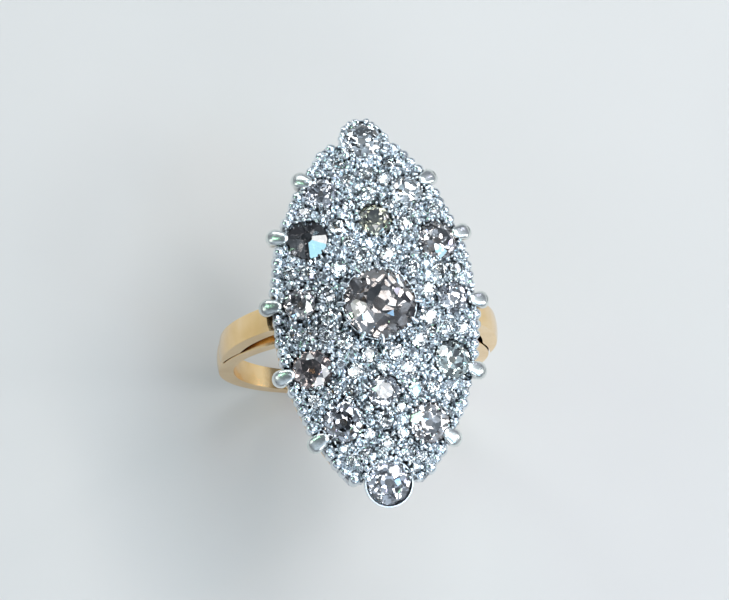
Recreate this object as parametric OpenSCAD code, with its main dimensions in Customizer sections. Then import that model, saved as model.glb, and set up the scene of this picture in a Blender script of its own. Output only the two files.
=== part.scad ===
// Navette cluster ring: a domed, pointed-oval head of old-cut stones on a plain gold shank.
// Millimetres. Origin at the centre of the finger hole. +Y runs along the finger and along the
// head's long axis, +X across the finger and +Z up through the middle of the head.

/* [Finger hole and shank] */
// Diameter of the finger hole
hole_d = 17.3; // [17:0.1:17.6]
// Thickness of the shank, from the finger hole outwards
shank_t = 1.15; // [1.05:0.05:1.25]
// Width of the shank where it meets the head
shank_w_top = 1.9; // [1.7:0.1:2.1]
// Width of the shank at the back of the finger
shank_w_back = 1.5; // [1.3:0.1:1.7]
// Radius of the curve that each outer shoulder follows
shoulder_r = 12.7; // [12.6:0.1:12.8]
// How far that curve's centre lies across from and above the centre of the finger hole
shoulder_shift = 2.9; // [2.8:0.05:3]
// Thickness of each outer shoulder
shoulder_t = 1.1; // [0.9:0.1:1.2]

/* [Head plate] */
// Width of the plate across the finger
plate_w = 13.5; // [13.4:0.1:13.7]
// Radius of the plate's two long edges
edge_r = 17.5; // [17.3:0.1:17.8]
// Distance from the middle to each blunt end of the plate
plate_end = 11.5; // [11.4:0.1:11.6]
// Thickness of the plate
plate_t = 0.9; // [0.8:0.05:1]
// Height of the dome above the centre of the finger hole
dome_top = 13.3; // [13.1:0.1:13.6]
// Radius of the dome along the finger
dome_r_long = 48; // [46:1:52]
// Radius of the dome across the finger
dome_r_cross = 22; // [21:0.5:24]

/* [Gallery] */
// Half the width of the lower rail that rests over the finger
base_half_w = 4.4; // [4.3:0.1:4.6]
// Radius of the lower rail's two long sides
base_edge_r = 11.6; // [11.4:0.1:12]
// Width and height of the lower rail
base_rail = 0.75; // [0.7:0.05:0.8]
// Width and height of the upper rail under the plate
upper_rail = 0.6; // [0.5:0.05:0.7]
// Radius of the posts between the two rails
post_r = 0.32; // [0.25:0.01:0.36]

/* [Stones] */
// Height of a plate-set stone's girdle above the plate
girdle_lift = 0.1; // [0.05:0.01:0.15]
// Height of the centre stone's girdle above the plate
centre_lift = 0.25; // [0.22:0.01:0.3]
// Crown height as a share of a stone's radius
crown_share = 0.34; // [0.3:0.01:0.4]
// Table radius as a share of a stone's radius
table_share = 0.52; // [0.45:0.01:0.6]
// Pavilion depth as a share of a stone's radius
pavilion_share = 0.76; // [0.72:0.01:0.78]
// Radius of the open culet as a share of a stone's radius
culet_share = 0.2; // [0.14:0.01:0.22]

/* [Hidden] */
hole_r = hole_d / 2;
half_w = plate_w / 2;
edge_x = edge_r - half_w;
base_z = hole_r + 0.35;
clear = 0.02;
round_fn = 96;
ring_fn = 240;
bead_fn = 48;
silver = [0.82, 0.84, 0.86];
gold = [0.86, 0.66, 0.36];
diamond = [0.86, 0.92, 0.96];

// A seat is [x, y, stone diameter, turn of the stone about its own axis].
centre = [0.1, 0, 4.8, 8];
top_tip = [0, 11.7, 2.9, 10];
bottom_tip = [0, -11.6, 2.9, 0];
upper_axis = [0.3, 5.8, 2.3, 14];
lower_axis = [0, -5.8, 2.2, 5];
left_top = [-3.1, 8, 2.2, 20];
right_top = [2.7, 8, 2.3, 31];
left_upper = [-4.3, 4.6, 2.7, 12];
right_upper = [4.45, 4.4, 2.75, 3];
left_middle = [-5.05, 0.3, 2.15, 17];
right_middle = [5.1, 0.4, 2.15, 40];
left_lower = [-4.5, -4.1, 2.65, 26];
right_lower = [4.75, -3.8, 2.55, 9];
left_bottom = [-2.7, -7.6, 2.7, 35];
right_bottom = [2.9, -7.9, 2.7, 22];
plate_set = [upper_axis, lower_axis, left_top, right_top, left_upper, right_upper, left_middle,
             right_middle, left_lower, right_lower, left_bottom, right_bottom];

// Small stones: a ring of twelve round the centre, then filling stones given once for both sides.
halo = [for (k = [0 : 11]) let (a = 15 + 30 * k)
        [centre.x + 3.45 * cos(a), centre.y + 3.45 * sin(a), 1.2, 7 * k]];
upper_axis_small = [[0, 7.75, 1.2, 0], [0, 9.3, 1.1, 20]];
upper_side_small = [[1.4, 7, 0.8, 5], [1.2, 8.85, 1, 12], [1.75, 10, 0.9, 30], [2.3, 5.5, 1.15, 18],
                    [4.35, 6.6, 0.9, 9], [2.9, 6.5, 0.8, 25], [1.6, 4.35, 0.8, 2],
                    [4.35, 2.35, 1.1, 15], [5.5, 2.45, 0.9, 33]];
lower_axis_small = [[0, -4.2, 0.8, 0], [0, -7.6, 1.2, 10], [0, -9.15, 1.1, 25]];
lower_side_small = [[1.75, -4.4, 1.1, 8], [2.1, -5.75, 1.1, 21], [3.3, -5.6, 1, 13],
                    [4.45, -6.15, 0.9, 4], [1.08, -6.85, 0.7, 30], [1.1, -8.5, 0.8, 16],
                    [1.35, -9.75, 1, 6], [2.3, -10, 0.8, 27], [3.45, -2, 0.9, 11],
                    [4.5, -1.7, 1, 36], [5.6, -1.7, 0.9, 19]];
upper_small = concat(upper_axis_small, both_sides(upper_side_small));
lower_small = concat(lower_axis_small, both_sides(lower_side_small));
small_set = concat(halo, upper_small, lower_small);

// Facet corners as shares of a stone's radius: star facets above, lower halves below
star_r = 0.78;
half_r = 0.58;
star_z = (1 - star_r * cos(22.5)) * crown_share / (1 - table_share);
half_z = (1 - half_r * cos(22.5)) * pavilion_share / (1 - culet_share * cos(22.5));
seat_slope = half_z / (1 - half_r);

claw_ys = [-8.8, -4.4, 0.3, 5, 9];
claw_head_r = 0.62;
claw_out = [0.2, 0.38, 0.4, 0.38, 0.2];
collet_r = 1.62;
centre_collet_r = 2.5;
edge_bead_r = 0.33;
grain_r = 0.16;

// Every stone or collet on the head as [x, y, radius], for keeping grains and beads clear.
stone_discs = concat([[centre.x, centre.y, centre_collet_r + 0.4]],
                     [for (tip = [top_tip, bottom_tip]) [tip.x, tip.y, collet_r]],
                     [for (seat = concat(plate_set, small_set)) [seat.x, seat.y, seat[2] / 2]]);
claw_discs = [for (side = [-1, 1], k = [0 : 4], part = [[0, claw_head_r], [0.6, 0.4], [1.1, 0.2]])
              [side * (edge_half(claw_ys[k]) + claw_out[k] - part[0]), claw_ys[k], part[1]]];
edge_step = 2.26;
edge_row_r = edge_r - 0.2;
edge_row = [for (side = [-1, 1], k = [-17 : 17])
            let (x = side * (edge_row_r * cos(k * edge_step) - edge_x), y = edge_row_r * sin(k * edge_step))
            if (abs(y) < plate_end - edge_bead_r
                && clear_of([x, y], concat(stone_discs, claw_discs), edge_bead_r + clear))
                [x, y, edge_bead_r]];
corner_row = [for (side = [-1, 1], end = [-1, 1]) [side * 2.12, end * 11.28, edge_bead_r]];
edge_discs = concat(corner_row,
                    [for (b = edge_row) if (clear_of(b, corner_row, edge_bead_r + clear)) b]);
grain_pitch = 0.5;
grains = [for (row = [-24 : 24], col = [-14 : 14])
          let (x = grain_pitch * (col + (row % 2 == 0 ? 0 : 0.5)), y = grain_pitch * 0.866 * row)
          if (abs(y) < plate_end - grain_r && abs(x) < edge_half(y) - grain_r - 0.05
              && clear_of([x, y], concat(stone_discs, claw_discs, edge_discs), grain_r + clear))
              [x, y]];

function both_sides(seats) =
    [for (seat = seats, side = [-1, 1]) [side * seat.x, seat.y, seat[2], side * seat[3]]];
function edge_half(y) = sqrt(edge_r * edge_r - y * y) - edge_x;
function clear_of(point, discs, gap) =
    min([for (disc = discs) norm([point.x - disc.x, point.y - disc.y]) - disc[2]]) >= gap;
function dome_tilt_x(x) = asin(x / dome_r_cross);
function dome_reach(x) = dome_r_long - dome_r_cross + dome_r_cross * cos(dome_tilt_x(x));
function dome_tilt_y(x, y) = asin(y / dome_reach(x));
function rail_foot_z() = dome_z(half_w, 0) - plate_t - upper_rail;
function dome_z(x, y) = dome_top - dome_r_long + dome_reach(x) * cos(dome_tilt_y(x, y));

// ---- Shared shapes ----

// Moves its child onto the dome at (x, y), with the child's +Z along the dome's normal
module on_dome(x, y, lift = 0) {
    translate([0, 0, dome_top - dome_r_long]) rotate([-dome_tilt_y(x, y), 0, 0])
        translate([0, 0, dome_r_long - dome_r_cross]) rotate([0, dome_tilt_x(x), 0])
            translate([0, 0, dome_r_cross + lift]) children();
}

// Everything under the dome's surface, lowered by depth
module under_dome(depth) {
    sweep = 24;
    translate([0, 0, dome_top - dome_r_long]) rotate([0, -90, 0]) rotate([0, 0, -sweep])
        rotate_extrude(angle = 2 * sweep, $fn = 720) intersection() {
            translate([dome_r_long - dome_r_cross, 0]) circle(dome_r_cross - depth, $fn = 360);
            translate([30, -12]) square([20, 24]);
        }
}

// Pointed oval with two long arcs
module navette(half_width, arc_r) {
    intersection() {
        translate([half_width - arc_r, 0]) circle(arc_r, $fn = ring_fn);
        translate([arc_r - half_width, 0]) circle(arc_r, $fn = ring_fn);
    }
}

// Blank of the plate from below up to the dome, grown by margin, between two depths
module plate_blank(margin, depth_top, depth_bottom) {
    intersection() {
        translate([0, 0, base_z]) linear_extrude(dome_top - base_z + 1) intersection() {
            navette(half_w + margin, edge_r + margin);
            square([plate_w + 2, 2 * (plate_end + margin)], center = true);
        }
        difference() {
            under_dome(depth_top);
            under_dome(depth_bottom);
        }
    }
}

// Cross-section of the shank and shoulders: flat inside, slightly crowned outside
module band_profile(inner_r, thickness, width) {
    crown_r = 3.5;
    intersection() {
        translate([inner_r, -width / 2]) square([thickness, width]);
        translate([inner_r + thickness - crown_r, 0]) circle(crown_r, $fn = ring_fn);
    }
}

// Old-cut stone: eight-sided table, kite and star facets, sixteen-sided girdle, open culet
module old_cut(d, turn) {
    r = d / 2;
    girdle = girdle_half(r);
    points = concat(
        ring_points(8, 0, table_share * r, girdle + crown_share * r),
        ring_points(8, 22.5, star_r * r, girdle + star_z * r),
        ring_points(16, 0, r, girdle),
        ring_points(16, 0, r, -girdle),
        ring_points(8, 22.5, half_r * r, -girdle - half_z * r),
        ring_points(8, 22.5, culet_share * r, -girdle - pavilion_share * r));
    faces = concat(
        [[for (k = [0 : 7]) k]],
        [for (k = [0 : 7]) [k, 8 + k, (k + 1) % 8]],
        [for (k = [0 : 7]) [k, 16 + 2 * k, 8 + k]],
        [for (k = [0 : 7]) [k, 8 + (k + 7) % 8, 16 + 2 * k]],
        [for (k = [0 : 7]) [8 + k, 16 + 2 * k, 16 + 2 * k + 1]],
        [for (k = [0 : 7]) [8 + k, 16 + 2 * k + 1, 16 + (2 * k + 2) % 16]],
        [for (k = [0 : 15]) [16 + k, 32 + k, 32 + (k + 1) % 16, 16 + (k + 1) % 16]],
        [for (k = [0 : 7]) [48 + k, 32 + 2 * k + 1, 32 + 2 * k]],
        [for (k = [0 : 7]) [48 + k, 32 + (2 * k + 2) % 16, 32 + 2 * k + 1]],
        [for (k = [0 : 7]) [48 + (k + 7) % 8, 56 + (k + 7) % 8, 48 + k]],
        [for (k = [0 : 7]) [56 + (k + 7) % 8, 56 + k, 48 + k]],
        [for (k = [0 : 7]) [32 + 2 * k, 48 + (k + 7) % 8, 48 + k]],
        [[for (k = [7 : -1 : 0]) 56 + k]]);
    rotate([0, 0, turn]) polyhedron(points, [for (face = faces) reversed(face)]);
}

// Single-cut small stone: table, eight crown facets and eight pavilion facets
module single_cut(d, turn) {
    r = d / 2;
    girdle = girdle_half(r);
    points = concat(
        ring_points(8, 0, table_share * r, girdle + crown_share * r),
        ring_points(8, 0, r, girdle),
        ring_points(8, 0, r, -girdle),
        [[0, 0, -girdle - pavilion_share * r]]);
    faces = concat(
        [[for (k = [0 : 7]) k]],
        [for (k = [0 : 7]) [k, 8 + k, 8 + (k + 1) % 8, (k + 1) % 8]],
        [for (k = [0 : 7]) [8 + k, 16 + k, 16 + (k + 1) % 8, 8 + (k + 1) % 8]],
        [for (k = [0 : 7]) [16 + k, 24, 16 + (k + 1) % 8]]);
    rotate([0, 0, turn]) polyhedron(points, [for (face = faces) reversed(face)]);
}

function girdle_half(r) = 0.03 * r + 0.02;
function ring_points(count, start, r, z) =
    [for (k = [0 : count - 1]) let (a = start + 360 * k / count) [r * cos(a), r * sin(a), z]];
function reversed(list) = [for (k = [len(list) - 1 : -1 : 0]) list[k]];

module seated_stone(seat, lift = girdle_lift) {
    color(diamond) on_dome(seat.x, seat.y, lift) old_cut(seat[2], seat[3]);
}

module small_stones(seats) {
    color(diamond) for (seat = seats) on_dome(seat.x, seat.y, girdle_lift) single_cut(seat[2], seat[3]);
}

// Countersunk hole under a plate-set stone, just clear of its pavilion
module seat_hole(seat) {
    r = seat[2] / 2 + clear;
    throat = 0.4 * r;
    bottom = -plate_t - 0.5;
    edge = girdle_lift - girdle_half(r);
    on_dome(seat.x, seat.y) rotate_extrude($fn = round_fn) polygon([
        [0, bottom], [throat, bottom], [throat, edge - seat_slope * (r - throat)], [r, edge],
        [r, 0.5], [0, 0.5]]);
}

// Space that a plate-set stone takes up, which notches the claws over it
module stone_space(seat) {
    r = seat[2] / 2;
    girdle = girdle_half(r);
    on_dome(seat.x, seat.y, girdle_lift) rotate_extrude($fn = round_fn) polygon([
        [0, -girdle - seat_slope * (r + clear)], [r + clear, -girdle], [r + clear, girdle],
        [star_r * r + clear, girdle + star_z * r + clear],
        [table_share * r, girdle + crown_share * r + clear], [0, girdle + crown_share * r + clear]]);
}

// Polished bead that stands on the plate
module bead(r, stem) {
    rotate_extrude($fn = bead_fn) {
        square([r, stem]);
        translate([0, stem]) intersection() {
            circle(r, $fn = bead_fn);
            square([r, r]);
        }
    }
}

// Tear drop along +Z: a large ball, a tapering neck and a small ball
module drop(r1, r2, length) {
    lean = asin((r1 - r2) / length);
    sphere(r1, $fn = bead_fn);
    translate([0, 0, r1 * sin(lean)])
        cylinder(length + (r2 - r1) * sin(lean), r1 * cos(lean), r2 * cos(lean), $fn = bead_fn);
    translate([0, 0, length]) sphere(r2, $fn = bead_fn);
}

// Straight round bar from one point to another
module bar(from, to, r) {
    run = to - from;
    translate(from) rotate([0, acos(run.z / norm(run)), atan2(run.y, run.x)])
        cylinder(norm(run), r, r, $fn = bead_fn);
}

// ---- Gold parts ----

// Round the finger, open under the head, tapering to the back
module shank() {
    outer_r = hole_r + shank_t;
    opening = 7;
    color(gold) intersection() {
        difference() {
            rotate([90, 0, 0]) rotate_extrude($fn = ring_fn) band_profile(hole_r, shank_t, shank_w_top);
            translate([-opening / 2, -2, 0]) cube([opening, 4, 2 * hole_r]);
            translate([-outer_r, -2, base_z]) cube([2 * outer_r, 4, outer_r]);
        }
        rotate([90, 0, 90]) linear_extrude(3 * outer_r, center = true) polygon([
            [-shank_w_back / 2, -outer_r - 1], [shank_w_back / 2, -outer_r - 1],
            [shank_w_top / 2, base_z + 1], [-shank_w_top / 2, base_z + 1]]);
    }
}

// Outer branch of the fork: leaves the shank low on the finger and rises to the upper rail
module right_shoulder() {
    outer_r = hole_r + shank_t;
    color(gold) intersection() {
        difference() {
            translate([-shoulder_shift, 0, shoulder_shift]) rotate([90, 0, 0]) rotate_extrude($fn = ring_fn)
                band_profile(shoulder_r - shoulder_t, shoulder_t, shank_w_top - 0.2);
            rotate([90, 0, 0]) cylinder(4, outer_r + 0.01, outer_r + 0.01, center = true, $fn = ring_fn);
        }
        translate([4, -2, 1.6]) cube([8, 4, rail_foot_z() - 0.01 - 1.6]);
    }
}

module left_shoulder() {
    mirror([1, 0, 0]) right_shoulder();
}

// Pointed-oval wire that the shank's ends are soldered to
module base_rail() {
    color(gold) translate([0, 0, base_z]) linear_extrude(base_rail) difference() {
        navette(base_half_w, base_edge_r);
        navette(base_half_w - base_rail, base_edge_r - base_rail);
    }
}

// Slanting posts between the lower and upper rails, six a side
module gallery_posts() {
    post_ys = [-7.6, -5.2, -2.6, 2.6, 5.2, 7.6];
    color(gold) intersection() {
        for (side = [-1, 1], y = post_ys) {
            foot_y = 0.78 * y;
            foot_x = sqrt(base_edge_r * base_edge_r - foot_y * foot_y) - base_edge_r + base_half_w;
            bar([side * (foot_x - base_rail / 2), foot_y, base_z],
                [side * (edge_half(y) - upper_rail / 2), y, dome_z(edge_half(y), y)], post_r);
        }
        translate([-10, -12, base_z + base_rail])
            cube([20, 24, rail_foot_z() - 0.01 - base_z - base_rail]);
    }
}

// Struts from the points of the lower rail to the tip collets
module tip_struts() {
    color(gold) intersection() {
        for (side = [-1, 1])
            bar([0, side * 8.4, base_z + base_rail / 2], [0, side * 11.2, base_z + 2.1], 0.42);
        difference() {
            translate([-2, -12, base_z + base_rail]) cube([4, 24, 3]);
            for (tip = [top_tip, bottom_tip])
                on_dome(tip.x, tip.y, -3) cylinder(4, collet_r + clear, collet_r + clear, $fn = round_fn);
        }
    }
}

// Upper rail under the plate's edge, one bent wire on each side
module right_gallery_rail() {
    end_y = 10;
    color(gold) intersection() {
        translate([0, 0, rail_foot_z()]) linear_extrude(3) intersection() {
            translate([-edge_x, 0]) difference() {
                circle(edge_r - 0.02, $fn = ring_fn);
                circle(edge_r - upper_rail, $fn = ring_fn);
            }
            translate([0, -end_y]) square([half_w, 2 * end_y]);
        }
        under_dome(plate_t);
    }
}

module left_gallery_rail() {
    mirror([1, 0, 0]) right_gallery_rail();
}

// ---- White metal parts ----

module tip_clearance() {
    for (tip = [top_tip, bottom_tip])
        on_dome(tip.x, tip.y, -3) cylinder(6, collet_r + clear, collet_r + clear, $fn = round_fn);
}

// Domed plate, pierced and countersunk for every stone
module head_plate() {
    color(silver) difference() {
        plate_blank(0, 0, plate_t);
        tip_clearance();
        on_dome(centre.x, centre.y, -3)
            cylinder(6, centre_collet_r + clear, centre_collet_r + clear, $fn = round_fn);
        for (seat = plate_set) seat_hole(seat);
        for (seat = small_set) seat_hole(seat);
    }
}

// Ring that seats the centre stone in the plate
module centre_collet() {
    r = centre[2] / 2;
    color(silver) on_dome(centre.x, centre.y) rotate_extrude($fn = ring_fn) polygon([
        [centre_collet_r, -plate_t - 0.2], [centre_collet_r, centre_lift - 0.05],
        [centre_collet_r - 0.03, centre_lift], [r + 0.03, centre_lift],
        [r + 0.03, centre_lift - 0.12], [1.3, -plate_t - 0.1], [1.3, -plate_t - 0.2]]);
}

// Twelve small claws that lean over the centre stone's girdle
module centre_claws() {
    claw_r = 0.17;
    tip_r = 0.1;
    color(silver) on_dome(centre.x, centre.y) for (k = [0 : 11]) rotate([0, 0, 30 * k]) {
        translate([centre_collet_r + claw_r + 2 * clear, 0, 0.02]) {
            cylinder(0.34, claw_r, claw_r, $fn = bead_fn);
            translate([0, 0, 0.34]) rotate([0, -65, 0]) drop(claw_r, tip_r, 0.4);
        }
    }
}

// Cup that holds a tip stone, with a bright rim and a tapering wall
module tip_collet(tip) {
    r = tip[2] / 2;
    color(silver) on_dome(tip.x, tip.y) rotate_extrude($fn = ring_fn) polygon([
        [1.15, -1.55], [1.25, -1.3], [1.4, -0.3], [1.5, -0.1], [collet_r, 0.08], [collet_r, 0.38],
        [collet_r - 0.06, 0.46], [r + 0.05, 0.46], [r + 0.03, 0.24], [0.6, -0.72], [0.6, -1.55]]);
}

module top_tip_collet() {
    tip_collet(top_tip);
}

module bottom_tip_collet() {
    tip_collet(bottom_tip);
}

// Tear-shaped claws that rise up the plate's edge and lie over the outer stones
module side_claws(side) {
    color(silver) difference() {
        for (k = [0 : 4]) {
            y = claw_ys[k];
            turn = asin(y / edge_r);
            translate([side * edge_half(y), y, dome_z(edge_half(y), y)])
                rotate([0, 0, side > 0 ? turn : 180 - turn]) translate([claw_out[k], 0, 0]) {
                    translate([0, 0, -1.35]) cylinder(1.35, 0.3, 0.45, $fn = bead_fn);
                    rotate([0, -62, 0]) drop(claw_head_r, 0.16, 1.15);
                }
        }
        plate_blank(0.01, -0.01, plate_t + upper_rail + 0.01);
        for (seat = plate_set) if (side * seat.x > 2) stone_space(seat);
    }
}

module left_side_claws() {
    side_claws(-1);
}

module right_side_claws() {
    side_claws(1);
}

// Row of beads that scallops the plate's edge
module edge_beads() {
    color(silver) for (b = edge_discs) on_dome(b.x, b.y, 0.005) bead(edge_bead_r, 0.08);
}

// Raised grains that fill the field between the stones
module field_grains() {
    color(silver) for (g = grains) on_dome(g.x, g.y, 0.005) bead(grain_r, 0.12);
}

// ---- Stones ----

module centre_stone() {
    seated_stone(centre, centre_lift);
}

module top_tip_stone() {
    seated_stone(top_tip, 0.34);
}

module bottom_tip_stone() {
    seated_stone(bottom_tip, 0.34);
}

module upper_axis_stone() {
    seated_stone(upper_axis);
}

module lower_axis_stone() {
    seated_stone(lower_axis);
}

module left_top_stone() {
    seated_stone(left_top);
}

module right_top_stone() {
    seated_stone(right_top);
}

module left_upper_stone() {
    seated_stone(left_upper);
}

module right_upper_stone() {
    seated_stone(right_upper);
}

module left_middle_stone() {
    seated_stone(left_middle);
}

module right_middle_stone() {
    seated_stone(right_middle);
}

module left_lower_stone() {
    seated_stone(left_lower);
}

module right_lower_stone() {
    seated_stone(right_lower);
}

module left_bottom_stone() {
    seated_stone(left_bottom);
}

module right_bottom_stone() {
    seated_stone(right_bottom);
}

module halo_stones() {
    small_stones(halo);
}

module upper_small_stones() {
    small_stones(upper_small);
}

module lower_small_stones() {
    small_stones(lower_small);
}

shank();
left_shoulder();
right_shoulder();
base_rail();
gallery_posts();
left_gallery_rail();
right_gallery_rail();
tip_struts();
head_plate();
centre_collet();
centre_claws();
top_tip_collet();
bottom_tip_collet();
left_side_claws();
right_side_claws();
edge_beads();
field_grains();
centre_stone();
top_tip_stone();
bottom_tip_stone();
upper_axis_stone();
lower_axis_stone();
left_top_stone();
right_top_stone();
left_upper_stone();
right_upper_stone();
left_middle_stone();
right_middle_stone();
left_lower_stone();
right_lower_stone();
left_bottom_stone();
right_bottom_stone();
halo_stones();
upper_small_stones();
lower_small_stones();
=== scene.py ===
import math
import random

import bmesh
import bpy
import numpy as np
from mathutils import Matrix, Vector


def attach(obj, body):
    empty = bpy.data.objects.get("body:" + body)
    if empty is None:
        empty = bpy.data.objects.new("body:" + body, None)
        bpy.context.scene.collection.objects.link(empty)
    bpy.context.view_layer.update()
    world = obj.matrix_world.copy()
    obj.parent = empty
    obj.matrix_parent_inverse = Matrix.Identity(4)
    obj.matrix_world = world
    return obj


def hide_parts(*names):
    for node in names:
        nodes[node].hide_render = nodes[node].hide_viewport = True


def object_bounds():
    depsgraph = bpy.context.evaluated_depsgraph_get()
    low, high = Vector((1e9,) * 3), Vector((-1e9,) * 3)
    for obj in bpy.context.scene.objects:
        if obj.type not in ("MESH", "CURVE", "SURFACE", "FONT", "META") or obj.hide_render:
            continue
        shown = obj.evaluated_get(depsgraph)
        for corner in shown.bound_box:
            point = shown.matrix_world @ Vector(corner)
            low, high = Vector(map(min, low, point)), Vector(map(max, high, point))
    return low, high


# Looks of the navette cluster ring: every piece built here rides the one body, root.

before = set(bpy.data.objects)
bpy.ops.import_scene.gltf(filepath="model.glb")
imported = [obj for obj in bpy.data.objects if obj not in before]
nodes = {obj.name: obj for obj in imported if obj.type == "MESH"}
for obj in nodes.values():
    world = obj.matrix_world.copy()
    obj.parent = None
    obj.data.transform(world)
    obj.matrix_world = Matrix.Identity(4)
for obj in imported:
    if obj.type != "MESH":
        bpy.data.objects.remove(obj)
cad_lo, cad_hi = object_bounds()
scene = bpy.context.scene
MM = 0.001

# ---- The head's layout, in millimetres: the same dome and seats as the CAD ----

DOME_TOP, DOME_LONG, DOME_CROSS = 13.3, 48.0, 22.0
EDGE_R, HALF_W, PLATE_END = 17.5, 6.75, 11.5
EDGE_X = EDGE_R - HALF_W
CENTRE_COLLET, TIP_COLLET, EDGE_BEAD = 2.5, 1.62, 0.33
CENTRE_LIFT, TIP_LIFT, GIRDLE_LIFT = 0.25, 0.34, 0.1
HALO_R, CENTRE_CLAW_R, SEAT_FIT = 3.45, 2.7, 0.985
DIAMOND_IOR = 2.417

# Stones as (x, y, diameter, turn in degrees)
CENTRE = (0.1, 0, 4.8, 8)
TIPS = {"top_tip_stone": (0, 11.7, 2.9, 10), "bottom_tip_stone": (0, -11.6, 2.9, 0)}
SET = {
    "upper_axis_stone": (0.3, 5.8, 2.3, 14), "lower_axis_stone": (0, -5.8, 2.2, 5),
    "left_top_stone": (-3.1, 8, 2.2, 20), "right_top_stone": (2.7, 8, 2.3, 31),
    "left_upper_stone": (-4.25, 4.65, 2.75, -5), "right_upper_stone": (4.45, 4.4, 2.75, 3),
    "left_middle_stone": (-5.05, 0.3, 2.15, 17), "right_middle_stone": (5.1, 0.4, 2.15, 40),
    "left_lower_stone": (-4.5, -4.1, 2.65, 26), "right_lower_stone": (4.75, -3.8, 2.55, 9),
    "left_bottom_stone": (-2.7, -7.6, 2.7, 35), "right_bottom_stone": (2.9, -7.9, 2.7, 22),
}


def both_sides(seats):
    """Each seat on the right and again, mirrored, on the left."""
    return [(s * x, y, d) for x, y, d in seats for s in (-1, 1)]


# Small stones as (x, y, diameter)
HALO = [(CENTRE[0] + HALO_R * math.cos(math.radians(a)), HALO_R * math.sin(math.radians(a)), 1.2)
        for a in range(15, 375, 30)]
UPPER = [(0, 7.75, 1.2), (0, 9.3, 1.1)] + both_sides([
    (1.4, 7, 0.8), (1.2, 8.85, 1), (1.75, 10, 0.9), (2.3, 5.5, 1.15), (4.35, 6.6, 0.9),
    (2.9, 6.5, 0.8), (1.6, 4.35, 0.8), (4.35, 2.35, 1.1), (5.5, 2.45, 0.9)])
LOWER = [(0, -4.2, 0.8), (0, -7.6, 1.2), (0, -9.15, 1.1)] + both_sides([
    (1.75, -4.4, 1.1), (2.1, -5.75, 1.1), (3.3, -5.6, 1), (4.45, -6.15, 0.9), (1.08, -6.85, 0.7),
    (1.1, -8.5, 0.8), (1.35, -9.75, 1), (2.3, -10, 0.8), (3.45, -2, 0.9), (4.5, -1.7, 1),
    (5.6, -1.7, 0.9)])
# Claws of one side as (y, distance out from the edge)
CLAWS = [(-8.8, 0.2), (-4.4, 0.38), (0.3, 0.4), (5, 0.38), (9, 0.2)]
# Middle of the painted shade that darkens the white metal at the left of the head
SHADE_PATCH_AT = (-4.4, -0.4, 12.3)


def edge_half(y):
    """Half the head's width at y, to the arc of its edge."""
    return math.sqrt(EDGE_R * EDGE_R - y * y) - EDGE_X


def on_dome(x, y, lift=0.0):
    """The dome's frame at (x, y): a rotation whose third column is the normal, and the point."""
    phi = math.asin(x / DOME_CROSS)
    reach = DOME_LONG - DOME_CROSS + DOME_CROSS * math.cos(phi)
    theta = math.asin(y / reach)
    turn = Matrix.Rotation(-theta, 3, "X") @ Matrix.Rotation(phi, 3, "Y")
    point = Vector((x, y, DOME_TOP - DOME_LONG + reach * math.cos(theta)))
    return np.array(turn), np.array(point + turn @ Vector((0, 0, lift)))


# ---- Mesh helpers ----

class Build:
    """Collects many small parts, given in millimetres, into one mesh with a value per face."""

    def __init__(self):
        self.verts, self.faces, self.value, self.smooth, self.count = [], [], [], [], 0

    def add(self, verts, faces, turn=None, at=(0, 0, 0), value=0.0, smooth=False):
        v = np.asarray(verts, float)
        if turn is not None:
            v = v @ np.asarray(turn).T
        self.verts.append(v + np.asarray(at, float))
        self.faces += [tuple(i + self.count for i in f) for f in faces]
        self.value += [value] * len(faces)
        self.smooth += [smooth] * len(faces)
        self.count += len(v)

    def make(self, name, material, slot, *replaced):
        mesh = bpy.data.meshes.new(name)
        mesh.from_pydata(np.concatenate(self.verts) * MM, [], self.faces)
        mesh.attributes.new("tone", "FLOAT", "FACE").data.foreach_set("value", self.value)
        mesh.polygons.foreach_set("use_smooth", self.smooth)
        mesh.materials.append(material)
        obj = bpy.data.objects.new(name, mesh)
        scene.collection.objects.link(obj)
        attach(obj, "root")
        if replaced:
            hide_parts(*replaced)
        return obj


def leaned(rng, spread):
    """Rotation by any turn about Z, leaned about X and Y by a normal spread in radians."""
    return np.array(Matrix.Rotation(rng.gauss(0, spread), 3, "X")
                    @ Matrix.Rotation(rng.gauss(0, spread), 3, "Y")
                    @ Matrix.Rotation(rng.uniform(0, 6.28), 3, "Z"))


def ring_pts(count, start, r, z):
    angles = [math.radians(start + 360 * k / count) for k in range(count)]
    return [Vector((r * math.cos(a), r * math.sin(a), z)) for a in angles]


def plane_of(a, b, c):
    """Outward plane (normal, offset) through three corners of a stone centred on the origin."""
    n = (b - a).cross(c - a).normalized()
    return (n, n.dot(a)) if n.dot(a) > 0 else (-n, -n.dot(a))


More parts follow.
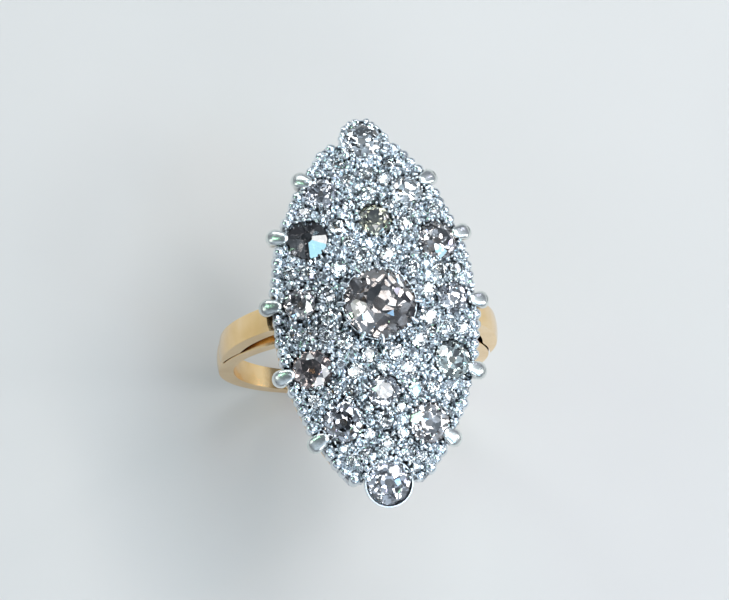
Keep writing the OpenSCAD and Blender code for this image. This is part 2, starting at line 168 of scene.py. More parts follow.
def cut_stone(d, seed, full=True, crown=0.34, table=0.52, pavilion=0.76, culet=0.2, slop=1.2):
    """Hand-cut stone as the space inside its facet planes, each about slop degrees out of true.

    Heights and facet corners are shares of the radius; a stone that isn't full has main facets only."""
    rng = random.Random(seed)
    r = d / 2
    g = 0.03 * r + 0.02  # half the girdle's height
    star_r, half_r = 0.78, 0.58
    c22 = math.cos(math.radians(22.5))
    star_z = (1 - star_r * c22) * crown / (1 - table)
    half_z = (1 - half_r * c22) * pavilion / (1 - culet * c22)
    # Corners of the table, star facets, upper and lower girdle, lower halves and culet
    t = ring_pts(8, 0, table * r, g + crown * r)
    s = ring_pts(8, 22.5, star_r * r, g + star_z * r)
    gu = ring_pts(16, 0, r, g)
    gl = ring_pts(16, 0, r, -g)
    h = ring_pts(8, 22.5, half_r * r, -g - half_z * r)
    cu = ring_pts(8, 22.5, culet * r, -g - pavilion * r)
    planes = []
    for k in range(8):
        planes.append(plane_of(t[k], gu[2 * k], s[k]))
        planes.append(plane_of(cu[k], cu[k - 1], gl[2 * k]))
        if full:
            planes.append(plane_of(t[k], t[(k + 1) % 8], s[k]))
            planes.append(plane_of(s[k], gu[2 * k], gu[2 * k + 1]))
            planes.append(plane_of(s[k], gu[(2 * k + 2) % 16], gu[2 * k + 1]))
            planes.append(plane_of(h[k], gl[2 * k], gl[2 * k + 1]))
            planes.append(plane_of(h[k], gl[(2 * k + 2) % 16], gl[2 * k + 1]))
    wobbled = []
    for n, off in planes:
        tilt = Vector((rng.gauss(0, 1), rng.gauss(0, 1), rng.gauss(0, 1))) * math.radians(slop)
        m = (n + tilt - n * n.dot(tilt)).normalized()
        foot = n * off
        wobbled.append((m, m.dot(foot) * (1 + rng.gauss(0, 0.004))))
    wobbled.append((Vector((0, 0, 1)), g + crown * r))
    wobbled.append((Vector((0, 0, -1)), g + pavilion * r))
    bm = bmesh.new()
    sides = 32 if full else 16
    rim = [r * (1 - 0.012 * rng.random()) for _ in range(sides)]
    low, high = -g - pavilion * r - 0.1, g + crown * r + 0.1
    loops = []
    for z in (low, high):
        loops.append([])
        for k in range(sides):
            a = 2 * math.pi * k / sides
            loops[-1].append(bm.verts.new((rim[k] * math.cos(a), rim[k] * math.sin(a), z)))
    bm.faces.new(list(reversed(loops[0])))
    bm.faces.new(loops[1])
    for k in range(sides):
        n = (k + 1) % sides
        bm.faces.new([loops[0][k], loops[0][n], loops[1][n], loops[1][k]])
    for n, off in wobbled:
        geom = bm.verts[:] + bm.edges[:] + bm.faces[:]
        cut = bmesh.ops.bisect_plane(bm, geom=geom, dist=1e-6, plane_co=n * off, plane_no=n,
                                     clear_outer=True)
        edges = [e for e in cut["geom_cut"] if isinstance(e, bmesh.types.BMEdge)]
        if edges:
            bmesh.ops.contextual_create(bm, geom=edges)
    bmesh.ops.remove_doubles(bm, verts=bm.verts, dist=1e-5)
    bmesh.ops.recalc_face_normals(bm, faces=bm.faces)
    bm.verts.index_update()
    verts = [v.co.copy() for v in bm.verts]
    faces = [tuple(v.index for v in f.verts) for f in bm.faces]
    bm.free()
    return verts, faces


def turned(profile, segments, at=(0, 0, 0)):
    """Open surface of revolution round a vertical axis through at, from (radius, height) pairs."""
    verts, faces = [], []
    for pr, pz in profile:
        for k in range(segments):
            a = 2 * math.pi * k / segments
            verts.append((at[0] + pr * math.cos(a), at[1] + pr * math.sin(a), at[2] + pz))
    for j in range(len(profile) - 1):
        low, high = j * segments, (j + 1) * segments
        for k in range(segments):
            n = (k + 1) % segments
            faces.append((low + k, low + n, high + n, high + k))
    return verts, faces


def bead(r, height, segments, rings, flat):
    """Polished bead on a short stem; flat lowers its top to a facet rubbed flat by wear."""
    shoulder = max(0.0, height - r)
    profile = [(r * 1.02, -0.12), (r, shoulder)]
    for k in range(1, rings):
        a = math.pi / 2 * k / rings
        profile.append((r * math.cos(a), shoulder + r * math.sin(a) * (1 - flat)))
    verts, faces = turned(profile, segments)
    last, top = len(verts) - segments, len(verts)
    verts.append((0, 0, shoulder + r * (1 - flat)))
    for k in range(segments):
        faces.append((last + k, last + (k + 1) % segments, top))
    faces.append(tuple(range(segments - 1, -1, -1)))
    return verts, faces


def lathe(profile, segments, at=(0, 0, 0)):
    """A turned surface closed at both ends."""
    verts, faces = turned(profile, segments, at)
    faces.append(tuple(range(segments - 1, -1, -1)))
    faces.append(tuple(len(verts) - segments + k for k in range(segments)))
    return verts, faces


# ---- Materials ----

def new_material(name):
    m = bpy.data.materials.new(name)
    m.use_nodes = True
    t = m.node_tree
    t.nodes.clear()
    out = t.nodes.new("ShaderNodeOutputMaterial")
    bsdf = t.nodes.new("ShaderNodeBsdfPrincipled")
    t.links.new(bsdf.outputs[0], out.inputs["Surface"])
    return m, t, bsdf


def add(tree, kind, inputs=None, **props):
    n = tree.nodes.new(kind)
    for k, v in props.items():
        setattr(n, k, v)
    for k, v in (inputs or {}).items():
        if isinstance(v, bpy.types.NodeSocket):
            tree.links.new(v, n.inputs[k])
        else:
            n.inputs[k].default_value = v
    return n


def ramp(tree, fac, stops):
    n = tree.nodes.new("ShaderNodeValToRGB")
    tree.links.new(fac, n.inputs["Fac"])
    cr = n.color_ramp
    while len(cr.elements) < len(stops):
        cr.elements.new(0.5)
    for e, (pos, col) in zip(cr.elements, stops):
        e.position = pos
        e.color = (*col, 1)
    return n.outputs["Color"]


def coords(tree, scale):
    c = tree.nodes.new("ShaderNodeTexCoord")
    m = add(tree, "ShaderNodeMapping", {"Vector": c.outputs["Object"], "Scale": (scale,) * 3})
    return m.outputs["Vector"]


def multiply(tree, one, other):
    mix = tree.nodes.new("ShaderNodeMix")
    mix.data_type, mix.blend_type = "RGBA", "MULTIPLY"
    mix.inputs[0].default_value = 1.0
    tree.links.new(one, mix.inputs[6])
    tree.links.new(other, mix.inputs[7])
    return mix.outputs[2]


def gold_material():
    m, t, b = new_material("yellow_gold_worn")
    p = coords(t, 1000)
    cloud = add(t, "ShaderNodeTexNoise", {"Vector": p, "Scale": 0.6, "Detail": 4.0})
    fine = add(t, "ShaderNodeTexNoise", {"Vector": p, "Scale": 14.0, "Detail": 3.0})
    tint = ramp(t, cloud.outputs["Fac"], [(0.3, (0.84, 0.57, 0.26)), (0.55, (0.92, 0.66, 0.34)),
                                         (0.75, (0.96, 0.73, 0.42))])
    # Painted shade: the gold darkens towards brown where ambient occlusion finds it closed in
    ao = add(t, "ShaderNodeAmbientOcclusion", {"Distance": 0.0008}, samples=4)
    shade = ramp(t, ao.outputs["AO"], [(0.2, (0.34, 0.25, 0.19)), (0.75, (1, 1, 1))])
    t.links.new(multiply(t, tint, shade), b.inputs["Base Color"])
    b.inputs["Metallic"].default_value = 1.0
    rough = add(t, "ShaderNodeMapRange", {"Value": fine.outputs["Fac"], "To Min": 0.08, "To Max": 0.22})
    t.links.new(rough.outputs[0], b.inputs["Roughness"])
    stretched = add(t, "ShaderNodeMapping", {"Vector": p, "Scale": (3.0, 22.0, 3.0)})
    scratch = add(t, "ShaderNodeTexNoise", {"Vector": stretched.outputs[0], "Scale": 2.0,
                                            "Detail": 5.0})
    dents = add(t, "ShaderNodeTexNoise", {"Vector": p, "Scale": 1.3, "Detail": 2.0})
    h = add(t, "ShaderNodeMath", {0: scratch.outputs["Fac"], 1: 0.25}, operation="MULTIPLY")
    h2 = add(t, "ShaderNodeMath", {0: h.outputs[0], 1: dents.outputs["Fac"]}, operation="ADD")
    bump = add(t, "ShaderNodeBump", {"Height": h2.outputs[0], "Strength": 0.35, "Distance": 0.00004})
    t.links.new(bump.outputs[0], b.inputs["Normal"])
    return m


def white_metal(name, light, dark, rough_lo, rough_hi, cell=0.0, cell_strength=0.0, ao=0.0006):
    """Polished white metal with painted shade: dark where ambient occlusion finds it closed in, and
    darker towards a point at the left of the head.

    cell cuts it into small bright planes."""
    m, t, b = new_material(name)
    p = coords(t, 1000)
    cloud = add(t, "ShaderNodeTexNoise", {"Vector": p, "Scale": 1.1, "Detail": 5.0})
    tint = ramp(t, cloud.outputs["Fac"], [(0.3, tuple(0.8 * c for c in light)), (0.6, light)])
    # Painted shade: the colour falls towards dark where ambient occlusion finds the metal closed in
    occ = add(t, "ShaderNodeAmbientOcclusion", {"Distance": ao}, samples=4)
    shade = ramp(t, occ.outputs["AO"], [(0.15, dark), (0.7, (1, 1, 1))])
    shaded = multiply(t, tint, shade)
    # Painted shade: the colour falls to 0.66 of itself near a point at the left of the head, and is
    # full again 4.4 mm away
    far = add(t, "ShaderNodeVectorMath", {0: p, 1: SHADE_PATCH_AT}, operation="DISTANCE")
    painted_shade = add(t, "ShaderNodeMapRange", {"Value": far.outputs["Value"], "From Min": 1.2,
                                         "From Max": 4.4, "To Min": 0.66, "To Max": 1.0},
               interpolation_type="SMOOTHSTEP")
    patch_shaded = add(t, "ShaderNodeVectorMath", {0: shaded, "Scale": painted_shade.outputs[0]},
                 operation="SCALE")
    t.links.new(patch_shaded.outputs["Vector"], b.inputs["Base Color"])
    b.inputs["Metallic"].default_value = 1.0
    fine = add(t, "ShaderNodeTexNoise", {"Vector": p, "Scale": 9.0, "Detail": 4.0})
    rough = add(t, "ShaderNodeMapRange", {"Value": fine.outputs["Fac"], "To Min": rough_lo,
                                          "To Max": rough_hi})
    t.links.new(rough.outputs[0], b.inputs["Roughness"])
    if cell:
        vor = add(t, "ShaderNodeTexVoronoi", {"Vector": p, "Scale": 1 / cell}, feature="F1")
        edge = add(t, "ShaderNodeTexVoronoi", {"Vector": p, "Scale": 1 / cell},
                   feature="DISTANCE_TO_EDGE")
        h = add(t, "ShaderNodeMath", {0: vor.outputs["Distance"], 1: edge.outputs["Distance"]},
                operation="SUBTRACT")
        bump = add(t, "ShaderNodeBump", {"Height": h.outputs[0], "Strength": cell_strength,
                                         "Distance": cell * MM})
    else:
        bump = add(t, "ShaderNodeBump", {"Height": fine.outputs["Fac"], "Strength": 0.25,
                                         "Distance": 0.00002})
    t.links.new(bump.outputs[0], b.inputs["Normal"])
    return m


def stone_material(name, low, high):
    """Faceted stone: clear and strongly refracting, with a cloudy change of tint and painted shade on
    its culet facet.
    """
    m, t, b = new_material(name)
    p = coords(t, 1000)
    cloud = add(t, "ShaderNodeTexNoise", {"Vector": p, "Scale": 1.7, "Detail": 3.0})
    tint = ramp(t, cloud.outputs["Fac"], [(0.35, low), (0.65, high)])
    tone = add(t, "ShaderNodeAttribute", attribute_name="tone")
    # Painted shade: faces with tone 1, the culet facets, go to 6 % of the low tint
    mix = t.nodes.new("ShaderNodeMix")
    mix.data_type = "RGBA"
    mix.inputs[7].default_value = (*(0.06 * c for c in low), 1)
    t.links.new(tone.outputs["Fac"], mix.inputs[0])
    t.links.new(tint, mix.inputs[6])
    t.links.new(mix.outputs[2], b.inputs["Base Color"])
    b.inputs["Roughness"].default_value = 0.0
    b.inputs["IOR"].default_value = DIAMOND_IOR
    b.inputs["Transmission Weight"].default_value = 1.0
    return m


gold = gold_material()
# Painted shade: each white metal's third colour is what ambient occlusion darkens it to; the claws'
# longer reach darkens their undersides
bright = white_metal("white_metal_bright", (0.87, 0.93, 0.97), (0.42, 0.44, 0.47), 0.12, 0.26)
glint = white_metal("white_metal_glint", (0.86, 0.92, 0.96), (0.10, 0.105, 0.11), 0.1, 0.26, ao=0.0004)
claw_metal = white_metal("white_metal_claw", (0.88, 0.92, 0.90), (0.14, 0.14, 0.15), 0.19, 0.31,
                         ao=0.0012)
recess = white_metal("white_metal_cut", (0.80, 0.84, 0.88), (0.35, 0.36, 0.38), 0.12, 0.3, 0.2, 1.0)
clear = stone_material("stone_clear", (0.67, 0.76, 0.74), (0.97, 0.98, 1.0))
grey = stone_material("stone_pale_grey", (0.48, 0.49, 0.52), (0.88, 0.89, 0.92))
mixed = stone_material("stone_warm_grey", (0.36, 0.30, 0.25), (0.82, 0.81, 0.83))
warm = stone_material("stone_warm", (0.20, 0.16, 0.135), (0.60, 0.57, 0.555))
minty = stone_material("stone_pale_mint", (0.66, 0.76, 0.70), (0.92, 0.99, 0.94))
champagne = stone_material("stone_champagne", (0.26, 0.20, 0.18), (0.50, 0.41, 0.37))
smoky = stone_material("stone_smoky", (0.035, 0.033, 0.034), (0.11, 0.105, 0.10))
olive = stone_material("stone_olive", (0.15, 0.15, 0.10), (0.44, 0.44, 0.34))

# ---- CAD parts that keep their shape ----

GOLD = ["shank", "left_shoulder", "right_shoulder", "base_rail", "gallery_posts", "left_gallery_rail",
        "right_gallery_rail", "tip_struts"]
WHITE = ["centre_collet", "centre_claws", "top_tip_collet", "bottom_tip_collet"]


def repaint(name, material):
    """Give a CAD part one material. Its mesh stays as it is."""
    mesh = nodes[name].data
    mesh.materials.clear()
    mesh.materials.append(material)
    mesh.polygons.foreach_set("material_index", [0] * len(mesh.polygons))


for n in GOLD:
    repaint(n, gold)
for n in WHITE:
    repaint(n, bright)
repaint("head_plate", recess)

# ---- Stones ----

TINTS = {"centre_stone": warm, "left_middle_stone": mixed, "right_upper_stone": mixed,
         "right_bottom_stone": mixed, "right_lower_stone": minty, "left_top_stone": grey,
         "right_middle_stone": grey, "left_bottom_stone": grey, "lower_axis_stone": grey,
         "bottom_tip_stone": grey, "left_upper_stone": smoky, "left_lower_stone": champagne,
         "upper_axis_stone": olive}
SLOTS = {"left_upper_stone": "smoky_stone", "left_lower_stone": "champagne_stone",
         "upper_axis_stone": "champagne_stone"}
# The smoky stone shows few and large facets in the photo
CUTS = {"left_upper_stone": {"full": False, "table": 0.26, "slop": 2.5, "tilt": 2}}


def place_stone(name, seat, lift, seed, tilt=0.0, **shape):
    """A cut stone in its CAD seat, tilted by up to tilt degrees; its culet facet gets tone 1, which
    marks it for painted shade.
    """
    x, y, d, turn = seat
    rng = random.Random(seed)
    verts, faces = cut_stone(d * SEAT_FIT, seed, **shape)
    basis, at = on_dome(x, y, lift)
    lean = (Matrix.Rotation(math.radians(rng.uniform(-tilt, tilt)), 3, "X")
            @ Matrix.Rotation(math.radians(rng.uniform(-tilt, tilt)), 3, "Y")
            @ Matrix.Rotation(math.radians(turn), 3, "Z"))
    b = Build()
    b.add(verts, faces, basis @ np.array(lean), at)
    low = min(v.z for v in verts)
    # Tone 1 marks the culet facets for painted shade
    b.value = [1.0 if all(verts[i].z < low + 0.03 * d for i in f) else 0.0 for f in faces]
    return b.make(name + "_cut", TINTS.get(name, clear), SLOTS.get(name, "clear_stone"), name)


cut = {"centre_stone": place_stone("centre_stone", CENTRE, CENTRE_LIFT, 11, slop=1.6, crown=0.38,
                                   table=0.44)}
for i, (n, seat) in enumerate(TIPS.items()):
    cut[n] = place_stone(n, seat, TIP_LIFT, 21 + i, tilt=2)
for i, (n, seat) in enumerate(SET.items()):
    cut[n] = place_stone(n, seat, GIRDLE_LIFT, 31 + i, **CUTS.get(n, {"tilt": 3}))


def small_stones(name, seats, seed, replaced=(), lift=(0.08, 0.2), tilt=6, material=clear,
                 slot="clear_stone"):
    """Many small cut stones, or faceted peaks, in one piece, each leaning a few degrees its own way."""
    rng = random.Random(seed)
    b = Build()
    for i, (x, y, d) in enumerate(seats):
        verts, faces = cut_stone(d * 0.98, seed * 1000 + i, full=d > 0.75, slop=2.0,
                                 crown=rng.uniform(0.32, 0.42), table=rng.uniform(0.42, 0.54))
        basis, at = on_dome(x, y, rng.uniform(*lift))
        b.add(verts, faces, basis @ leaned(rng, math.radians(tilt / 2)), at)
    return b.make(name, material, slot, *replaced)


small_stones("halo_stones_cut", HALO, 3, ("halo_stones",))
small_stones("upper_small_stones_cut", UPPER, 4, ("upper_small_stones",))
small_stones("lower_small_stones_cut", LOWER, 5, ("lower_small_stones",))

# ---- Claws and edge beads ----

def tab_claw(out):
    """Tab-shaped claw: a rounded head outside the edge, a tail over the stone and a stem below."""
    slope = math.radians(62)
    axis = Vector((-math.sin(slope), 0, math.cos(slope)))
    up = Vector((math.cos(slope), 0, math.sin(slope)))
    side = Vector((0, 1, 0))
    around, verts, faces = 24, [], []
    stations = [-0.6, -0.57, -0.48, -0.32, -0.12, 0.1, 0.32, 0.52, 0.7, 0.85, 0.96, 1.02]
    for s in stations:
        # Half-width w: a round head, then a slow taper to a blunt tail
        if s < 0:
            w = 0.6 * math.sqrt(max(0.0, 1 - (s / 0.62) ** 2)) + 0.01
        else:
            w = (0.61 - 0.24 * s) * math.sqrt(max(0.0, 1 - (s / 1.04) ** 6)) + 0.01
        for k in range(around):
            a = 2 * math.pi * k / around
            c, q = math.cos(a), math.sin(a)
            across = math.copysign(abs(c) ** 0.85, c) * w
            rise = q * w * (0.5 if q > 0 else 0.85)
            verts.append(Vector((out, 0, 0)) + axis * s + side * across + up * rise)
    for s in (-0.62, 1.05):
        verts.append(Vector((out, 0, 0)) + axis * s)
    n = len(stations)
    for j in range(n - 1):
        for k in range(around):
            m = (k + 1) % around
            faces.append((j * around + k, (j + 1) * around + k, (j + 1) * around + m, j * around + m))
    for k in range(around):
        m = (k + 1) % around
        faces.append((k, m, n * around))
        faces.append(((n - 1) * around + m, (n - 1) * around + k, n * around + 1))
    return verts, faces


CLAW_STEM = [(0.29, -1.35), (0.3, -1.2), (0.33, -0.8), (0.39, -0.4), (0.45, -0.12), (0.44, 0.1)]
for side, name in ((-1, "left_side_claws"), (1, "right_side_claws")):
    b = Build()
    for y, out in CLAWS:
        x = edge_half(y)
        turn = math.asin(y / EDGE_R)
        spin = Matrix.Rotation(turn if side > 0 else math.pi - turn, 3, "Z")
        _, at = on_dome(side * x, y)
        b.add(*tab_claw(out), np.array(spin), at, smooth=True)
        b.add(*lathe(CLAW_STEM, 20, (out, 0, 0)), np.array(spin), at, smooth=True)
    b.make(name + "_shaped", claw_metal, "white_metal", name)

# What the grains keep clear of, as (x, y, radius)
discs = [(CENTRE[0], CENTRE[1], CENTRE_COLLET + 0.02)]
discs += [(CENTRE[0] + CENTRE_CLAW_R * math.cos(math.radians(a)),
           CENTRE_CLAW_R * math.sin(math.radians(a)), 0.18) for a in range(0, 360, 30)]
discs += [(x, y, TIP_COLLET) for x, y, _, _ in TIPS.values()]
discs += [(x, y, d / 2) for x, y, d, _ in SET.values()]
discs += [(x, y, d / 2) for x, y, d in HALO + UPPER + LOWER]
discs += [(s * (edge_half(y) + out - inward), y, r) for s in (-1, 1) for y, out in CLAWS
          for inward, r in ((0, 0.62), (0.6, 0.4), (1.1, 0.2))]
disc = np.array(discs)
rng = random.Random(20)


def clear_of(x, y, r, gap):
    """Whether a disc stays at least gap from every disc so far."""
    return (np.hypot(disc[:, 0] - x, disc[:, 1] - y) - disc[:, 2]).min() >= r + gap


def grow(x, y, r):
    """Add a disc to what the next grains keep clear of."""
    global disc
    disc = np.vstack([disc, (x, y, r)])


# Edge beads: one at each corner by the tip collets, the rest along the two arcs
edge_row = [(s * 2.12, e * 11.28) for s in (-1, 1) for e in (-1, 1)]
row_r, row_step, row_half = EDGE_R - 0.2, 2.26, 17
for s in (-1, 1):
    for k in range(-row_half, row_half + 1):
        a = math.radians(row_step * k)
        edge_row.append((s * (row_r * math.cos(a) - EDGE_X), row_r * math.sin(a)))
b = Build()
ribs = Build()
for x, y in edge_row:
    r = EDGE_BEAD * rng.uniform(0.78, 1.24)
    x += math.copysign(rng.uniform(-0.06, 0.1), x)
    if not clear_of(x, y, r, -0.24):
        continue
    grow(x, y, r)
    verts, faces = bead(r, 0.08 + r, segments=14, rings=5, flat=rng.choice((0.2, 0.4, 0.55)))
    basis, at = on_dome(x, y)
    b.add(verts, faces, basis @ leaned(rng, 0.1), at, smooth=True)
    rib = [(0.16, -0.86), (0.27, -0.78), (r, -0.6), (r, 0.02), (0.24, 0.12)]
    ribs.add(*lathe(rib, 16), at=at, smooth=True)
b.make("edge_beads_worn", bright, "white_metal", "edge_beads")
ribs.make("edge_scallops", bright, "white_metal")

# ---- The field: bright-cut ground, faceted peaks, then grains in the gaps that are left ----


def throw(radius, tries, gap, margin, low=-PLATE_END):
    """Random places on the plate, above y = low, where a disc of this radius clears every other."""
    made = []
    for _ in range(tries):
        y = rng.uniform(low + radius, PLATE_END - radius)
        w = edge_half(y) - radius - margin
        if w <= 0:
            continue
        x = rng.uniform(-w, w)
        if clear_of(x, y, radius, gap):
            grow(x, y, radius)
            made.append((x, y, radius))
    return made


def glitter(name, pitch, seed):
    """Bright-cut ground between the stones: a sheet of small flat facets tipped every way."""
    rng = random.Random(seed)
    big = [(CENTRE[0], CENTRE[1], CENTRE_COLLET - 0.06)]
    big += [(x, y, TIP_COLLET + 0.02) for x, y, _, _ in TIPS.values()]
    big += [(x, y, 0.475 * d) for x, y, d, _ in SET.values()]
    big += [(x, y, 0.36 * d) for x, y, d in HALO + UPPER + LOWER]
    big = np.array(big)
    step = pitch * math.sqrt(3) / 2
    rows, cols = int(PLATE_END / step), int(HALF_W / pitch) + 1
    place, verts, faces = {}, [], []
    for j in range(-rows, rows + 1):
        for i in range(-cols, cols + 1):
            x = (i + 0.5 * (j % 2) + rng.uniform(-0.34, 0.34)) * pitch
            y = (j + rng.uniform(-0.34, 0.34)) * step
            h = 0.01 + 0.34 * rng.random() ** 1.1
            if abs(y) > PLATE_END - 0.1 or abs(x) > edge_half(y) - 0.05:
                continue
            if (np.hypot(big[:, 0] - x, big[:, 1] - y) < big[:, 2]).any():
                continue
            place[j, i] = len(verts)
            verts.append(on_dome(x, y, h)[1])
    for j, i in place:
        k = j % 2
        for tri in (((j, i), (j, i + 1), (j + 1, i + k)), ((j, i + 1 - k), (j + 1, i + 1), (j + 1, i))):
            if all(q in place for q in tri):
                faces.append(tuple(place[q] for q in tri))
    b = Build()
    b.add(verts, faces)
    return b.make(name, glint, "white_metal")


glitter("bright_cut_ground", 0.15, 41)

# Grains round the stones' rims as (x, y, radius, raised)
rims = []
grains_per_mm, centre_grains = 7.5, 44
for n, (x, y, d, _) in SET.items():
    turn, count = rng.uniform(0, 360), int(grains_per_mm * d)
    apart = 0.07 if n == "left_upper_stone" else 0
    for k in range(count):
        a = math.radians(turn + 360 * (k + rng.uniform(-0.4, 0.4)) / count)
        far, r = d / 2 + apart + rng.uniform(-0.04, 0.1), rng.uniform(0.09, 0.18)
        rims.append((x + far * math.cos(a), y + far * math.sin(a), r, 0.18))
for k in range(centre_grains):
    a = math.radians(360 * (k + rng.uniform(-0.3, 0.3)) / centre_grains)
    far = rng.uniform(2.24, 2.5)
    rims.append((CENTRE[0] + far * math.cos(a), far * math.sin(a), rng.uniform(0.1, 0.2), 0.26))
rims = [(x, y, r, raised) for x, y, r, raised in rims if abs(x) < edge_half(y) - r]
# Rows of grains round the tip collets: towards, far, span, count, smallest and largest radius, raised.
inner_rows = ((1.9, 56, 13, 0.17, 0.26, 0.16), (1.62, 74, 13, 0.18, 0.27, 0.42),
              (1.4, 80, 14, 0.13, 0.2, 0.42))
rows = [("top_tip_stone", -90, *row) for row in inner_rows]
rows += [("bottom_tip_stone", 90, *row) for row in inner_rows]
rows.append(("top_tip_stone", 90, 1.38, 92, 17, 0.2, 0.27, 0.36))
for tip, towards, far, span, count, smallest, largest, raised in rows:
    x, y = TIPS[tip][:2]
    for k in range(count):
        a = math.radians(towards + span * (2 * k / (count - 1) - 1) + rng.uniform(-4, 4))
        out = far + rng.uniform(-0.05, 0.05)
        r = rng.uniform(smallest, largest)
        rims.append((x + out * math.cos(a), y + out * math.sin(a), r, raised))

grains = throw(0.27, 500, 0.0, -0.04, low=5.0) + throw(0.26, 200, 0.05, -0.04)
peaks = []
for radius in (0.44, 0.38, 0.33):
    peaks += [(x, y, 2 * r) for x, y, r in throw(radius, 2500, 0.0, 0.1)]
small_stones("bright_cut_peaks", peaks, 6, lift=(0.0, 0.12), tilt=16, material=glint,
             slot="white_metal")
for radius, tries in ((0.24, 900), (0.2, 700), (0.16, 600), (0.13, 400)):
    grains += throw(radius, tries, 0.0, -0.04)
b = Build()
for x, y, r, raised in [(*g, 0.0) for g in grains] + rims:
    height = 0.16 + r * rng.uniform(0.9, 1.4) + raised
    verts, faces = bead(r, height, segments=12, rings=4, flat=rng.choice((0.3, 0.5, 0.7)))
    basis, at = on_dome(x, y)
    lean = leaned(rng, 0.22)
    squeeze = np.diag((rng.uniform(0.5, 1.0), rng.uniform(0.9, 1.2), 1.0))
    b.add(verts, faces, basis @ lean @ squeeze, at, smooth=True)
b.make("field_grains_bright", bright, "white_metal", "field_grains")

# ---- Floor, light and camera ----

floor_z = cad_lo.z
bm = bmesh.new()
bmesh.ops.create_grid(bm, x_segments=8, y_segments=8, size=0.6)
mesh = bpy.data.meshes.new("floor")
bm.to_mesh(mesh)
bm.free()
floor = bpy.data.objects.new("floor", mesh)
floor.location.z = floor_z
scene.collection.objects.link(floor)
fm, ft, fb = new_material("floor_pale")
fp = coords(ft, 20)
fn = add(ft, "ShaderNodeTexNoise", {"Vector": fp, "Scale": 1.0, "Detail": 3.0})
ft.links.new(ramp(ft, fn.outputs["Fac"], [(0.3, (0.66, 0.64, 0.62)), (0.7, (0.70, 0.68, 0.66))]),
             fb.inputs["Base Color"])
fb.inputs["Roughness"].default_value = 0.8
mesh.materials.append(fm)

# The camera's azimuth, elevation and roll, its distance in mm and its focal length in pixels
az, el, roll = math.radians(28.65), math.radians(72.85), math.radians(25.34)
dist, focal, frame_w, sensor = 130.0, 1964.4, 729.0, 36.0
back = Vector((-math.sin(az) * math.cos(el), -math.cos(az) * math.cos(el), math.sin(el)))

world = bpy.data.worlds.new("studio")
world.use_nodes = True
wt = world.node_tree
sky = wt.nodes.new("ShaderNodeTexCoord")
height = add(wt, "ShaderNodeSeparateXYZ", {0: sky.outputs["Generated"]})
room = add(wt, "ShaderNodeTexNoise", {"Vector": sky.outputs["Generated"], "Scale": 2.6, "Detail": 1.0})
spread = add(wt, "ShaderNodeMath", {0: room.outputs["Fac"], 1: 0.9, 2: -0.45}, operation="MULTIPLY_ADD")
level = add(wt, "ShaderNodeMath", {0: height.outputs["Z"], 1: spread.outputs[0]}, operation="ADD")
shade = ramp(wt, level.outputs[0], [(0.0, (0.10, 0.11, 0.13)), (0.4, (0.19, 0.21, 0.25)),
                                   (0.62, (0.40, 0.46, 0.52)), (0.82, (0.79, 0.93, 1.09))])


def darker_towards(direction, start, full, least):
    """Factor that falls from 1 to least as the cosine to a fixed direction goes from start to full."""
    cosine = add(wt, "ShaderNodeVectorMath", {0: sky.outputs["Generated"], 1: direction},
                 operation="DOT_PRODUCT")
    fall = add(wt, "ShaderNodeMapRange", {"Value": cosine.outputs["Value"], "From Min": start,
                                          "From Max": full, "To Min": 1.0, "To Max": least})
    return fall.outputs[0]


# Two dark areas fixed in the room: the photographer's place, and what the left of the head mirrors
both = add(wt, "ShaderNodeMath", {0: darker_towards(tuple(back), 0.93, 0.985, 0.2),
                                  1: darker_towards((-0.33, 0.27, 0.90), 0.72, 0.92, 0.14)},
           operation="MULTIPLY")
dim = add(wt, "ShaderNodeVectorMath", {0: shade, "Scale": both.outputs[0]}, operation="SCALE")
band = add(wt, "ShaderNodeMapRange", {"Value": height.outputs["Z"], "From Min": 0.08, "From Max": 0.16})
mix = wt.nodes.new("ShaderNodeMix")
mix.data_type = "RGBA"
mix.inputs[6].default_value = (0.60, 0.63, 0.66, 1)
wt.links.new(band.outputs[0], mix.inputs[0])
wt.links.new(dim.outputs["Vector"], mix.inputs[7])
wt.links.new(mix.outputs[2], wt.nodes["Background"].inputs["Color"])
wt.nodes["Background"].inputs["Strength"].default_value = 1.0
scene.world = world

target = Vector((-0.65, 0.66, 12.0)) * MM
AIM_DISTANCE = 0.30


def softbox(name, azimuth, elevation, distance, size, radiance, colour=(1, 1, 1)):
    """Area light aimed at the head. Azimuth 0 is in front (-Y side), 90 to the right (+X)."""
    a, e = math.radians(azimuth), math.radians(elevation)
    d = Vector((math.sin(a) * math.cos(e), -math.cos(a) * math.cos(e), math.sin(e)))
    light = bpy.data.lights.new(name, "AREA")
    light.shape, light.size = "SQUARE", size
    light.energy = radiance * math.pi * size * size
    light.color = colour
    o = bpy.data.objects.new(name, light)
    o.location = target + d * distance
    o.rotation_mode = "QUATERNION"
    o.rotation_quaternion = d.to_track_quat("Z", "Y")
    scene.collection.objects.link(o)


softbox("key", 140, 54, 0.30, 0.08, 4.6, (1.0, 0.99, 0.97))
softbox("key_right", 112, 64, 0.30, 0.10, 5.5, (0.98, 0.99, 1.0))
softbox("key_back", 172, 60, 0.30, 0.075, 5.2, (0.80, 0.93, 1.0))
softbox("high", 50, 79, 0.32, 0.11, 3.5, (0.96, 0.98, 1.0))
softbox("fill", 70, 38, 0.34, 0.10, 3.0, (0.92, 0.96, 1.0))
softbox("rear", -165, 34, 0.34, 0.10, 3.2, (0.95, 0.98, 1.0))
softbox("side", -97, 28, 0.34, 0.09, 2.2, (0.95, 1.0, 0.93))
softbox("front", 10, 28, 0.34, 0.08, 4.6, (0.92, 0.96, 1.0))
softbox("amber", 100, 60, 0.30, 0.03, 8.0, (1.0, 0.74, 0.48))
softbox("mint", -115, 42, 0.30, 0.04, 8.0, (0.55, 1.0, 0.70))
softbox("lilac", 35, 60, 0.30, 0.03, 8.0, (0.72, 0.66, 1.0))


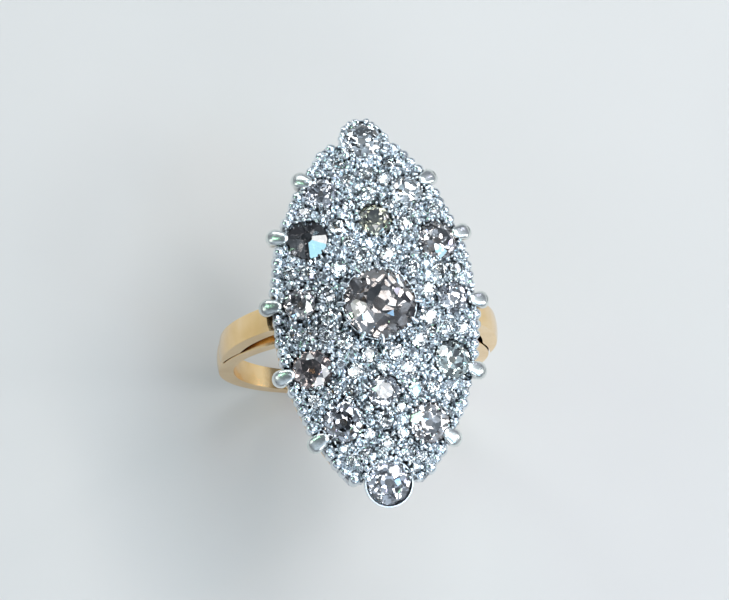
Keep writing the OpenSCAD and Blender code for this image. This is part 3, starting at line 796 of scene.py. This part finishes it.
def mirrored_box(name, stone, x, y, size, radiance, colour, largest=1.0):
    """Softbox that one of the stone's facets mirrors to the camera.

    The facet is the nearest to (x, y), of 0.1 to largest mm2, whose box clears the floor."""
    choices = []
    for f in stone.data.polygons:
        seen = 2 * f.normal * f.normal.dot(back) - back
        if f.normal.z > 0.5 and seen.z > 0.3 and 0.1 < f.area / MM ** 2 < largest:
            choices.append((math.hypot(f.center.x / MM - x, f.center.y / MM - y), seen))
    seen = min(choices, key=lambda choice: choice[0])[1]
    azimuth, elevation = math.atan2(seen.x, -seen.y), math.asin(seen.z)
    softbox(name, math.degrees(azimuth), math.degrees(elevation), AIM_DISTANCE, size, radiance, colour)


mirrored_box("blue", cut["left_upper_stone"], -3.6, 3.95, 0.045, 5.0, (0.40, 0.82, 1.0))
mirrored_box("blue_upper", cut["upper_axis_stone"], 0.6, 5.0, 0.045, 5.0, (0.50, 0.82, 1.0))
mirrored_box("white_right", cut["right_top_stone"], 2.8, 7.5, 0.05, 8.0, (1.0, 0.99, 0.97))
mirrored_box("white_left", cut["left_top_stone"], -2.4, 7.6, 0.05, 8.0, (1.0, 0.99, 0.97))
mirrored_box("white_tip", cut["top_tip_stone"], -0.7, 12.0, 0.05, 6.0, (0.96, 0.99, 1.0))
mirrored_box("pale_tip", cut["top_tip_stone"], 0.2, 12.6, 0.05, 5.0, (0.86, 0.95, 1.0))
mirrored_box("blue_centre", cut["centre_stone"], 1.5, -1.0, 0.03, 4.0, (0.30, 0.62, 1.0), 0.3)
mirrored_box("lilac_centre", cut["centre_stone"], 1.6, 0.5, 0.03, 5.0, (0.84, 0.82, 1.0), 0.3)
mirrored_box("mint_centre", cut["centre_stone"], -1.6, 0.3, 0.03, 4.0, (0.62, 0.95, 0.74), 0.3)
mirrored_box("white_centre", cut["centre_stone"], 1.2, 1.6, 0.03, 6.0, (1.0, 0.99, 0.98), 0.3)

right = (-back).cross(Vector((0, 0, 1))).normalized()
up = right.cross(-back)
rolled_right = right * math.cos(roll) + up * math.sin(roll)
rolled_up = -right * math.sin(roll) + up * math.cos(roll)
cam_data = bpy.data.cameras.new("camera")
cam_data.sensor_width = sensor
cam_data.lens = focal * sensor / frame_w
cam_data.clip_start, cam_data.clip_end = 0.005, 5.0
camera = bpy.data.objects.new("camera", cam_data)
camera.matrix_world = Matrix.Translation(target + back * dist * MM) @ Matrix(
    (rolled_right, rolled_up, back)).transposed().to_4x4()
scene.collection.objects.link(camera)
scene.camera = camera
scene.view_settings.view_transform = "Standard"
